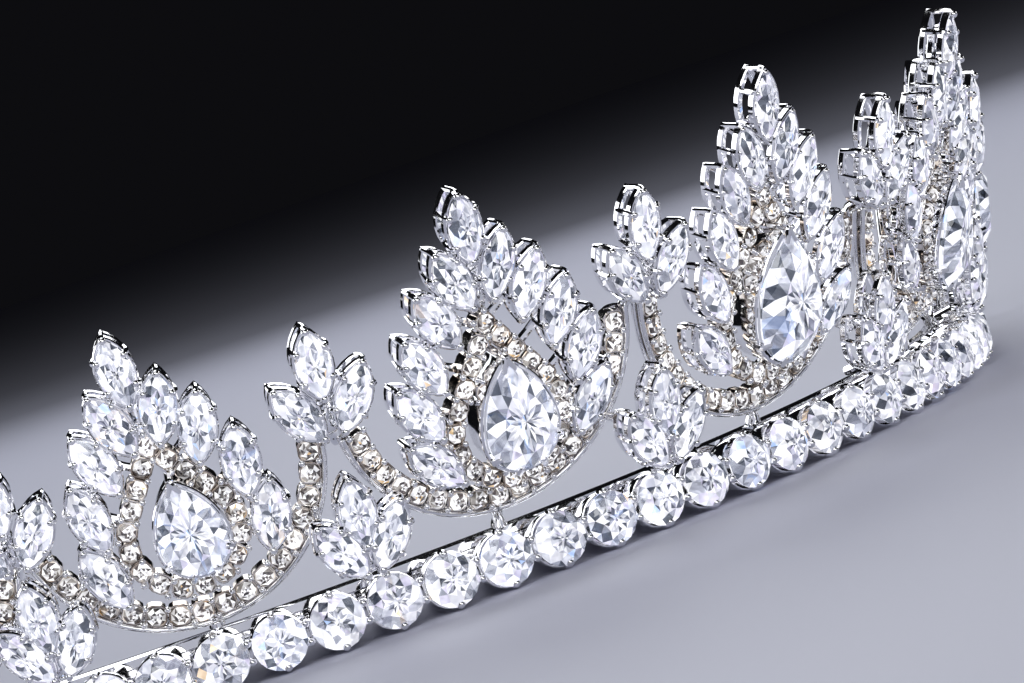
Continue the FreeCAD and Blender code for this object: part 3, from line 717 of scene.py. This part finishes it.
def paveForms(points, runs, back, front, pitch):
    # Square cup at each point along a line, beads in the corners between neighbours, one stone in each cup.
    # Each frame's first axis is the line's direction and its second the same turned a quarter.
    p = pave
    frames = np.tile(np.eye(4), (len(points), 1, 1))
    frames[:, 0, 0], frames[:, 1, 0] = runs[:, 0], runs[:, 1]
    frames[:, 0, 1], frames[:, 1, 1] = -runs[:, 1], runs[:, 0]
    frames[:, :2, 3] = points
    size = pitch / 2
    outline = circleOutline(size, p["points"], p["square"])
    cup = wallForm(outline, -p["wall"], 0.0, back, front - p["below"], p["bevel"])
    floor = wallForm(outline, -size + p["floorGap"], -p["floorWall"], back + p["floorLow"],
                     back + p["floorHigh"], p["floorBevel"])
    corners = np.array([(-size, t * size * p["beadAt"], front + p["beadUp"]) for t in (-1, 1)])
    beads = joinForms([placeForm(ballForm(p["bead"], 8, 5), atPoint(*c)) for c in corners])
    stone = smallStoneForm(2 * size - p["stoneGap"], front - p["stoneBelow"])
    # The cups come back apart from the beads so that they can take the darker metal, which is painted shade
    # between the stones.
    return placeForm(joinForms([cup, floor]), frames), placeForm(beads, frames), placeForm(stone, frames)


# Garlands

garlandParts = {
    "back": -0.85, "front": 0.75, "pitch": 2.24, "fill": 0.98,
    "wireRadius": 0.28, "wireSides": 10, "wireSteps": 90, "wireOut": 1.39,
    "frontWire": 0.47, "backWire": -0.37,  # depths of the two wires
    "barOut": 0.35, "barSteps": 40,  # bar behind the cups; its section's rows are out from the arc, depth
    "barSection": [(-0.85, -0.4), (-0.85, -0.72), (-0.5, -0.98), (0.0, -1.1), (0.5, -0.98), (0.85, -0.72),
                   (0.85, -0.4)],
    "postFoot": 3.3, "postCollar": 0.4, "postIn": 0.1, "postRadii": [0.85, 0.75, 0.55, 0.7, 0.85],
}


def arcEnd(row, top):
    # The angle from the lowest point at which the arc is at the height top: arccos((middle - top) / radius).
    middle = row["low"] + row["garland"]
    return math.acos(max(-1.0, min(1.0, (middle - top) / row["garland"])))


def arcPoints(row, radius, left, right, count):
    # Points on an arc about the garland's middle, from the left end down and up to the right end, and their
    # directions: (R sin a, middle - R cos a) and (cos a, sin a).
    a = np.linspace(-left, right, count)
    middle = row["low"] + row["garland"]
    points = np.column_stack([radius * np.sin(a), middle - radius * np.cos(a)])
    return points, np.column_stack([np.cos(a), np.sin(a)])


def garlandForms(kind, side, tops):
    # One garland: cups at equal angles of pitch / radius along the arc, two wires and a bar on wider arcs,
    # and a post from the rail to the arc's lowest point, narrow in the middle.
    p = garlandParts
    row = motifs[kind]
    radius = row["garland"]
    left, right = arcEnd(row, tops[0]), arcEnd(row, tops[1])
    edge = p["pitch"] / 2 / radius
    count = int(round(radius * (left + right) / p["pitch"]))
    points, runs = arcPoints(row, radius, left - edge, right - edge, count)
    cups, beads, stones = paveForms(points, runs, p["back"], p["front"], p["pitch"] * p["fill"])
    forms = [beads]
    flat, _ = arcPoints(row, radius + p["wireOut"], left, right, p["wireSteps"])
    for depth in (p["frontWire"], p["backWire"]):
        wire = np.column_stack([flat, np.full(len(flat), depth)])
        forms.append(tubeForm(wire, p["wireRadius"], p["wireSides"]))
    flat, runs = arcPoints(row, radius + p["barOut"], left, right, p["barSteps"])
    outward = np.column_stack([runs[:, 1], -runs[:, 0]])
    section = np.array(p["barSection"])
    grid = np.zeros((len(flat), len(section), 3))
    grid[:, :, :2] = flat[:, None] + outward[:, None] * section[None, :, :1]
    grid[:, :, 2] = section[None, :, 1]
    forms.append(gridForm(grid))
    foot, collar = p["postFoot"], p["postCollar"]
    top = row["low"] - diadem["paveWidth"] / 2 + p["postIn"]
    heights = (foot, foot + collar, (foot + top) / 2, top - collar, top)
    forms.append(tubeForm([(side * row["post"], y, 0) for y in heights], p["postRadii"], 12))
    return joinForms(forms), cups, stones


# Leaves, each with a drop-shaped frame and a pear stone in it

leafParts = {
    "back": 0.98, "front": 3.8, "tuck": 0.3,  # of the baskets
    "channelBack": 1.18, "channelFront": 3.05, "pitch": 2.2, "fill": 0.97, "pathSteps": 400,
    "ringUp": 0.5, "ringRadius": 0.46, "ringSteps": 80,  # closed tube behind the small stones
    "armGap": 1.5, "armRadii": [0.5, 0.42, 0.5],  # from the ring to each basket
    "rodUp": 1.2, "rodRadius": 0.38, "rodLow": 0.3, "rodHigh": 0.4,  # from the pear stone's tip to the apex
    "propRadius": 0.8, "propLow": 0.6, "propIn": 0.1, "propUp": (0.9, 1.3),  # under the pear stone
}

pearCup = {
    "front": 5.7, "steps": 42, "bevel": 0.12,
    "wall": (0.06, 0.40), "wallLow": 0.7, "wallBelow": 0.4, "flare": 0.3,
    "rim": (0.08, 0.44), "rimLow": 0.75, "rimBelow": 0.3,
    "clawAngles": (205, 250, 290, 335), "clawOut": 0.18, "clawIn": 0.86, "clawRoot": 1.2, "clawUp": 0.42,
    "clawRadii": [0.42, 0.42, 0.34],
    "tipOut": 0.45, "tipUp": 0.1, "tipAcross": 0.55, "tipDown": 0.75, "tipRadii": [0.4, 0.3],
    "stemOut": 0.4, "stemLow": 1.0, "stemRadius": 0.42,
}


def nearestOnDrop(row, x, y):
    # Nearest point of the drop's outline: on the tangent by its dot product with the point, kept on its
    # length, or on the circle by scaling the point to the radius.
    centre = row["base"] + row["drop"]
    rise = row["apex"] - centre
    half = math.asin(row["drop"] / rise)
    side = -1 if x < 0 else 1
    offset = np.array([abs(x), y - centre])
    run = np.array([-math.sin(half), math.cos(half)])
    touch = row["drop"] * np.array([math.cos(half), math.sin(half)])
    along = (offset - touch) @ run
    if along > 0:
        near = touch + run * min(along, row["drop"] / math.tan(half))
    else:
        near = offset * row["drop"] / np.hypot(*offset)
    return np.array([side * near[0], near[1] + centre])


def leafArms(kind, depth):
    # A tube from the drop's nearest point towards each basket, as far as the gap before its middle.
    p = leafParts
    row = motifs[kind]
    arms = []
    for x, y, turn in leafRows(kind):
        near = nearestOnDrop(row, x, y)
        reach = np.array([x, y]) - near
        goal = near + reach * max(0.0, 1 - p["armGap"] / np.linalg.norm(reach))
        arms.append(tubeForm([(*near, depth), (*(near + goal) / 2, depth), (*goal, depth)], p["armRadii"]))
    return joinForms(arms)


def pearCupForm(row, back):
    # Cup about the half circle's middle: a flared wall and a rim along the pear outline, claws on a circle
    # outside it that lean in over the stone, two claws at the tip and a stem behind them.
    p = pearCup
    front = p["front"]
    pear = pearOutline(row["pearLength"], row["pearWidth"], p["steps"])
    forms = [wallForm(pear, *p["wall"], back + p["wallLow"], front - p["wallBelow"], p["bevel"], p["flare"]),
             wallForm(pear, *p["rim"], front - p["rimLow"], front - p["rimBelow"], p["bevel"])]
    half = row["pearWidth"] / 2
    tip = row["pearLength"] - half
    for angle in p["clawAngles"]:
        a = math.radians(angle)
        x, y = (half + p["clawOut"]) * math.cos(a), (half + p["clawOut"]) * math.sin(a)
        path = [(x, y, front - p["clawRoot"]), (x, y, front),
                (x * p["clawIn"], y * p["clawIn"], front + p["clawUp"])]
        forms.append(tubeForm(path, p["clawRadii"], axis=slantAxis))
    crest = (0, tip + p["tipOut"], front + p["tipUp"])
    for s in (-1, 1):
        claw = [crest, (s * p["tipAcross"], tip - p["tipDown"], front + p["clawUp"])]
        forms.append(tubeForm(claw, p["tipRadii"]))
    stem = [(0, tip + p["stemOut"], back + p["stemLow"]), crest]
    forms.append(tubeForm(stem, p["stemRadius"], axis=(1, 0, 0)))
    return joinForms(forms)


def pearMiddle(row, side):
    # The middle of the pear stone's half circle: aside from the leaf's axis, half a width above its foot.
    return np.array([-side * row["aside"], row["pearLow"] + row["pearWidth"] / 2])


def leafForms(kind, side):
    # One leaf: cups at equal lengths round the drop, a ring behind them, baskets at the leaf's rows, arms
    # between the two, the pear stone's cup, a rod from its tip to the apex and a prop below it.
    p = leafParts
    row = motifs[kind]
    back = p["back"]
    centre = row["base"] + row["drop"]
    rise = row["apex"] - centre
    points, _ = dropPath(row["drop"], rise, p["pathSteps"])
    length = np.sum(np.linalg.norm(np.diff(points, axis=0), axis=1))
    points, runs = dropPath(row["drop"], rise, int(round(length / p["pitch"])))
    cups, beads, small = paveForms(points + [0, centre], runs, p["channelBack"], p["channelFront"],
                                   p["pitch"] * p["fill"])
    tuck = p["tuck"] if kind == "centre" else 0.0
    baskets = placeForm(basketForm(back, p["front"], tuck), flatFrames(leafRows(kind)))
    depth = back + p["ringUp"]
    ring, _ = dropPath(row["drop"], rise, p["ringSteps"])
    ring = np.column_stack([ring + [0, centre], np.full(len(ring), depth)])
    middle = pearMiddle(row, side)
    tip = middle[1] + row["pearLength"] - row["pearWidth"] / 2
    rod = [(middle[0], tip + p["rodLow"], back + p["rodUp"]),
           (0, row["apex"] - p["rodHigh"], back + p["rodUp"])]
    prop = [(middle[0] * 0.5, row["base"] + p["propLow"], back + p["propUp"][0]),
            (middle[0], row["pearLow"] - p["propIn"], back + p["propUp"][1])]
    metal = joinForms([
        beads, baskets, tubeForm(ring, p["ringRadius"], closed=True), leafArms(kind, depth),
        placeForm(pearCupForm(row, back), atPoint(*middle)), tubeForm(rod, p["rodRadius"]),
        tubeForm(prop, p["propRadius"], 10),
    ])
    return metal, cups, small


def pearStone(row):
    # The pear outline as a girdle, with its facets drawn to the outline's own mean height.
    girdle = pearOutline(row["pearLength"], row["pearWidth"], stoneCuts["pear"]["points"])(0)
    return stoneForm("pear", girdle, girdle.mean(0) * [0, 1], row["pearWidth"], pearCup["front"])


# Clusters of three baskets above and below each place where two garlands meet

clusterParts = {"back": 1.0, "front": 3.7, "tuck": 0.3, "hubRadius": 1.2, "hubUp": 0.5, "hubFlat": 0.5,
                "armReach": 0.55, "armRadius": 0.45, "armUp": (0.6, 0.5), "footRadius": 0.48,
                "upperHub": 1.6, "upperFoot": [(0, 1.6, 1.6), (0, 0.5, 0.2)],  # above the garlands' ends
                "lowerHub": 5.1, "lowerFoot": [(0, 5.1, 1.5), (0, 3.8, -0.9)]}


def clusterForm(rows, hub, foot, tuck):
    # Baskets at the rows, a flattened ball as the hub, an arm from it part of the way to each basket, and a
    # foot that runs back from it.
    p = clusterParts
    hubPlace = atPoint(0, hub, p["back"] + p["hubUp"]) @ np.diag([1, 1, p["hubFlat"], 1])
    forms = [placeForm(basketForm(p["back"], p["front"], tuck), flatFrames(rows)),
             placeForm(ballForm(p["hubRadius"], 12, 6), hubPlace)]
    start = np.array([0, hub])
    for x, y, turn in rows:
        goal = start + (np.array([x, y]) - start) * p["armReach"]
        arm = [(*start, p["back"] + p["armUp"][0]), (*goal, p["back"] + p["armUp"][1])]
        forms.append(tubeForm(arm, p["armRadius"]))
    forms.append(tubeForm(foot, p["footRadius"], axis=(1, 0, 0)))
    return joinForms(forms)


# motifs on the inner and outer side of each junction, and what holds the clusters to their garlands
motifsBeside = {"centre": ("centre", "inner"), "inner": ("inner", "outer"), "outer": ("outer", "side"),
                "end": ("side", None)}

struts = {
    "turn": 0.87, "basket": [(3.7, 9.6, 1.5), (4.1, 9.8, 0.6)],  # across, up, depth
    "wire": [(10.2, 0.6), (10.5, 0.0)],  # height on the front wire, and how far ahead of it
    "radii": [0.6, 0.5, 0.42, 0.6],
    # saddle: share of the way to the wire, height there, own height (over the garlands' ends), ahead of it
    "saddle": [(0.0, 0.0, 0.9, 1.98), (0.6, 0.0, 0.3, 1.08), (0.9, -0.6, -0.6, 0.3), (1.0, -1.6, -1.6, 0.0)],
    "saddleRadii": [0.7, 0.66, 0.5, 0.34],
}


def clusterStruts(kind, side):
    # Struts from each side basket of a lower cluster, and from the foot of the upper one, back to the front
    # wires. At the height y a wire stands sqrt(R^2 - (middle - y)^2) from its garland's middle, and the rest
    # of the way to the junction is its distance from the cluster's middle.
    forms = []
    deep = garlandParts["frontWire"] - diadem["ridge"]
    top = junctions[kind]["top"]
    for way, beside in zip((-1, 1), motifsBeside[kind]):
        if beside is None:
            continue
        row = motifs[beside]
        gap = abs(junctions[kind]["station"] - row["station"])
        middle = row["low"] + row["garland"]
        wire = row["garland"] + garlandParts["wireOut"]

        def wireAt(height):  # across from the cluster's middle
            return way * side * (gap - math.sqrt(wire ** 2 - (middle - height) ** 2))

        turn = struts["turn"] * way * side
        path = [(turn * x, y, z) for x, y, z in struts["basket"]]
        path += [(wireAt(y), y, deep + ahead) for y, ahead in struts["wire"]]
        forms.append(tubeForm(path, struts["radii"], 10, axis=(0, 1, 0)))
        path = [(wireAt(top + at) * share, top + up, deep + ahead)
                for share, at, up, ahead in struts["saddle"]]
        forms.append(tubeForm(path, struts["saddleRadii"], 12, axis=(1, 0, 0)))
    return joinForms(forms)


# Band

band = {"stones": 39, "pitch": 5.9, "diameter": 5.4, "halfLength": 116.2, "steps": 180,
        "front": 4.45, "back": 5.75, "height": 6.0, "lowEdge": 0.3, "edge": 0.2, "topEdge": 0.25,
        "groove": [(0.0, 4.95), (0.35, 4.78), (0.35, 4.42), (0.0, 4.25)]}  # depth, height

roundSetting = {
    "sides": 24,  # the bowl's profile: radius, and depth behind the stone's girdle
    "profile": [(0.4, -4.75), (1.9, -4.75), (2.25, -4.1), (2.55, -3.1), (2.76, -2.0), (2.84, -1.2),
                (2.80, -0.95), (2.66, -0.92), (2.56, -1.2), (2.2, -2.6), (1.5, -4.1), (0.4, -4.3)],
    "claws": [(0, 2.72), (0, -2.6), (2.95, 0.95), (2.95, -0.95)], "clawFoot": 2.86,
    "clawDepths": (-0.9, -0.2, 0.12), "clawIn": 0.965, "clawRadii": [0.4, 0.38, 0.36],
    "bead": 0.42, "beadIn": 0.96, "beadUp": 0.16,
}


def railForm():
    # Section with two bars and a groove between them, carried along the stone line: each station's frame
    # times (0, height, depth).
    p = band
    stations = np.linspace(-p["halfLength"], p["halfLength"], p["steps"])
    frames = stationFrames(stations, 0, 0)
    f, b, h = -p["front"], -p["back"], p["height"]
    e, t = p["edge"], p["topEdge"]
    section = [(f, p["lowEdge"]), (f - e, 0.0), (b + e, 0.0), (b, e), (b, h - t), (b + e, h), (f - t, h),
               (f, h - t)]
    section = np.array(section + [(f - depth, height) for depth, height in p["groove"]])
    local = np.zeros((len(section), 3))
    local[:, 1] = section[:, 1] - diadem["stoneHeight"]
    local[:, 2] = section[:, 0]
    grid = np.einsum("nij,pj->npi", frames[:, :3, :3], local) + frames[:, None, :3, 3]
    return gridForm(grid)


def roundCup():
    # Bowl turned about the stone's axis, (r cos a, r sin a, depth) down the outside, over the rim and down
    # the inside, with claws that start on it, and a bead on each.
    p = roundSetting
    a = np.arange(p["sides"]) * turnCircle / p["sides"]
    profile = np.array(p["profile"])
    grid = np.stack([profile[:, :1] * np.cos(a), profile[:, :1] * np.sin(a), profile[:, 1:] + 0 * a], -1)
    forms = [gridForm(grid)]
    low, bend, high = p["clawDepths"]
    for x, y in p["claws"]:
        reach = math.hypot(x, y)
        foot = np.array([x, y]) / reach * min(reach, p["clawFoot"])
        claw = [(*foot, low), (x, y, bend), (x * p["clawIn"], y * p["clawIn"], high)]
        forms.append(tubeForm(claw, p["clawRadii"], axis=slantAxis))
        bead = atPoint(x * p["beadIn"], y * p["beadIn"], p["beadUp"])
        forms.append(placeForm(ballForm(p["bead"], 10, 6), bead))
    return joinForms(forms)


stations = (np.arange(band["stones"]) - (band["stones"] - 1) / 2) * band["pitch"]
bandFrames = stationFrames(stations, 0, 0)
metalPiece("bandRail", railForm(), "base_rail", smooth=35)
metalPiece("bandCups", placeForm(roundCup(), bandFrames))
roundGirdle = circleOutline(band["diameter"] / 2, stoneCuts["round"]["points"])(0)
roundStone = stoneForm("round", roundGirdle, np.zeros(2), band["diameter"], 0)
half = band["stones"] // 2
stonePiece("bandStonesLeft", placeForm(roundStone, bandFrames[:half]), "rail_stones_left")
stonePiece("bandStonesRight", placeForm(roundStone, bandFrames[half:]), "rail_stones_right")
print("band made")

# The junctions on the inner and outer side of each motif
innerSide = {"centre": "centre", "inner": "centre", "outer": "inner", "side": "outer"}
outerSide = {"centre": "centre", "inner": "inner", "outer": "outer", "side": "end"}


def makeMotif(kind, side, name, node):
    # One motif's garland, leaf and pear stone: the garland in the motif's frame, the rest in the leaf's.
    row = motifs[kind]
    near, far = junctions[innerSide[kind]]["top"], junctions[outerSide[kind]]["top"]
    place = motifFrame(kind, side)
    wires, cups, stones = garlandForms(kind, side, (far, near) if side < 0 else (near, far))
    metalPiece(name + "GarlandWires", placeForm(wires, place), node + "_garland")
    # The cups take the darker metal: painted shade between the small stones.
    metalPiece(name + "GarlandCups", placeForm(cups, place), None, paveMetalPaintedShade)
    stonePiece(name + "GarlandStones", placeForm(stones, place), None, smallStone)
    place = leafFrame(kind, side)
    metal, cups, small = leafForms(kind, side)
    metalPiece(name + "LeafBaskets", placeForm(metal, place), node + "_leaf_setting")
    metalPiece(name + "LeafCups", placeForm(cups, place), None, paveMetalPaintedShade)
    stonePiece(name + "LeafSmallStones", placeForm(small, place), None, smallStone)
    marquises = placeForm(marquiseStone(leafParts["front"]), place @ flatFrames(leafRows(kind)))
    stonePiece(name + "LeafStones", marquises, node + "_leaf_stones")
    pear = placeForm(pearStone(row), place @ atPoint(*pearMiddle(row, side)))
    stonePiece(name + "PearStone", pear, node + "_pear_stone")


def makeJunction(kind, side, name, node):
    # The upper and lower cluster of one junction and their stones, all in the junction's frame.
    p = clusterParts
    top = junctions[kind]["top"]
    crown = [(x, y + top, turn) for x, y, turn in crownRows]
    tuck = p["tuck"] if kind == "end" else 0.0
    upperFoot = [(x, y + top, z) for x, y, z in p["upperFoot"]]
    upper = clusterForm(crown, top + p["upperHub"], upperFoot, tuck)
    lower = clusterForm(footRows, p["lowerHub"], p["lowerFoot"], tuck)
    lower = joinForms([lower, clusterStruts(kind, side)])
    place = junctionFrame(kind, side)
    metalPiece(name + "UpperCluster", placeForm(upper, place), node + "_upper_cluster")
    metalPiece(name + "LowerCluster", placeForm(lower, place), node + "_lower_cluster")
    stones = placeForm(marquiseStone(p["front"]), place @ flatFrames(crown + footRows))
    stonePiece(name + "ClusterStones", stones, node + "_cluster_stones")


leftAndRight = ((-1, "left"), (1, "right"))
for kind in motifs:
    if kind == "centre":
        makeMotif(kind, -1, kind, kind)
        continue
    for side, word in leftAndRight:
        makeMotif(kind, side, kind + word.capitalize(), kind + "_" + word)
print("motifs made")
for kind in junctions:
    for side, word in leftAndRight:
        makeJunction(kind, side, kind + word.capitalize(), kind + "_" + word)
print("clusters made")

# Floor, light and camera. Lengths are metres here, and powers watts.

studio = {"floorHalf": 3.0, "floorColour": (0.56, 0.57, 0.68), "floorRoughness": 0.6,
          "worldColour": (0.004, 0.004, 0.005), "worldStrength": 1.0}

white, cool, daylight = (1, 1, 1), (0.95, 0.97, 1.0), (0.96, 0.97, 1.0)
middleAim = (0, 0, 0.02)
softBoxes = {  # place, aim, width, height, power, colour
    "keyBox": ((-0.62, -0.45, 0.55), (0, -0.01, 0.02), 0.55, 0.45, 2.4, white),
    "frontBox": ((-0.2, -0.85, 0.22), middleAim, 0.7, 0.3, 1.3, white),
    "topBox": ((0.05, 0.1, 0.8), middleAim, 0.6, 0.35, 1.9, cool),
    "leftBox": ((-0.62, 0.68, 0.36), middleAim, 0.7, 0.5, 3.2, daylight),
    "rimBox": ((0.5, 0.5, 0.4), middleAim, 0.3, 0.4, 1.2, cool),
    "backBox": ((0.1, 0.95, 0.3), middleAim, 0.5, 0.3, 0.8, cool),
    "lensBox": ((-0.5, -0.75, 0.24), middleAim, 0.25, 0.25, 0.4, white),
    "rightBox": ((0.85, -0.25, 0.3), middleAim, 0.4, 0.3, 0.8, white),
}

camera = {"azimuth": -42.99, "elevation": 2.97, "roll": -19.13, "lens": 171.4, "sensor": 36.0,
          "place": (-348.22, -365.98, 47.07), "nearest": 0.01}  # place in millimetres


def makeFloor():
    # One square about the origin at height 0.
    h = studio["floorHalf"]
    mesh = bpy.data.meshes.new("studioFloor")
    mesh.from_pydata([(-h, -h, 0), (h, -h, 0), (h, h, 0), (-h, h, 0)], [], [(0, 1, 2, 3)])
    floor = bpy.data.objects.new("studioFloor", mesh)
    bpy.context.scene.collection.objects.link(floor)
    material, nodes, links, shader = newMaterial("floorPaper")
    shader.inputs["Base Color"].default_value = (*studio["floorColour"], 1)
    shader.inputs["Roughness"].default_value = studio["floorRoughness"]
    mesh.materials.append(material)


def softBox(name, place, aim, width, height, power, colour):
    # Rectangular lamp whose own -Z points from its place to its aim.
    lamp = bpy.data.lights.new(name, "AREA")
    lamp.shape = "RECTANGLE"
    lamp.size, lamp.size_y = width, height
    lamp.energy = power
    lamp.color = colour
    box = bpy.data.objects.new(name, lamp)
    bpy.context.scene.collection.objects.link(box)
    box.location = place
    box.rotation_euler = (Vector(aim) - Vector(place)).to_track_quat("-Z", "Y").to_euler()
    box.visible_camera = False


def makeCamera():
    # Axes from azimuth and elevation: back = (sin a cos e, -cos a cos e, sin e), right = (cos a, sin a, 0)
    # and up = back x right, then right and up turned by the roll.
    azimuth, elevation, roll = (math.radians(camera[key]) for key in ("azimuth", "elevation", "roll"))
    back = Vector((math.sin(azimuth) * math.cos(elevation), -math.cos(azimuth) * math.cos(elevation),
                   math.sin(elevation)))
    right = Vector((math.cos(azimuth), math.sin(azimuth), 0))
    up = back.cross(right)
    across = right * math.cos(roll) + up * math.sin(roll)
    rise = up * math.cos(roll) - right * math.sin(roll)
    lens = bpy.data.cameras.new("studioCamera")
    lens.lens = camera["lens"]
    lens.sensor_width = camera["sensor"]
    lens.clip_start = camera["nearest"]
    holder = bpy.data.objects.new("studioCamera", lens)
    bpy.context.scene.collection.objects.link(holder)
    turned = Matrix((across, rise, back)).transposed().to_4x4()
    turned.translation = Vector(camera["place"]) * mm
    holder.matrix_world = turned
    bpy.context.scene.camera = holder


makeFloor()
world = bpy.data.worlds.new("studio")
world.use_nodes = True
sky = world.node_tree.nodes["Background"].inputs
sky["Color"].default_value = (*studio["worldColour"], 1)
sky["Strength"].default_value = studio["worldStrength"]
bpy.context.scene.world = world
for name, values in softBoxes.items():
    softBox(name, *values)
bpy.context.scene.view_settings.view_transform = "Standard"
makeCamera()
print("studio made")

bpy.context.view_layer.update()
triangles = {o.name: sum(len(p.vertices) - 2 for p in o.data.polygons) for o in bpy.data.objects
             if o.type == "MESH" and "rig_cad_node" not in o}
print("triangles", sum(triangles.values()), "largest", max(triangles.items(), key=lambda t: t[1]))
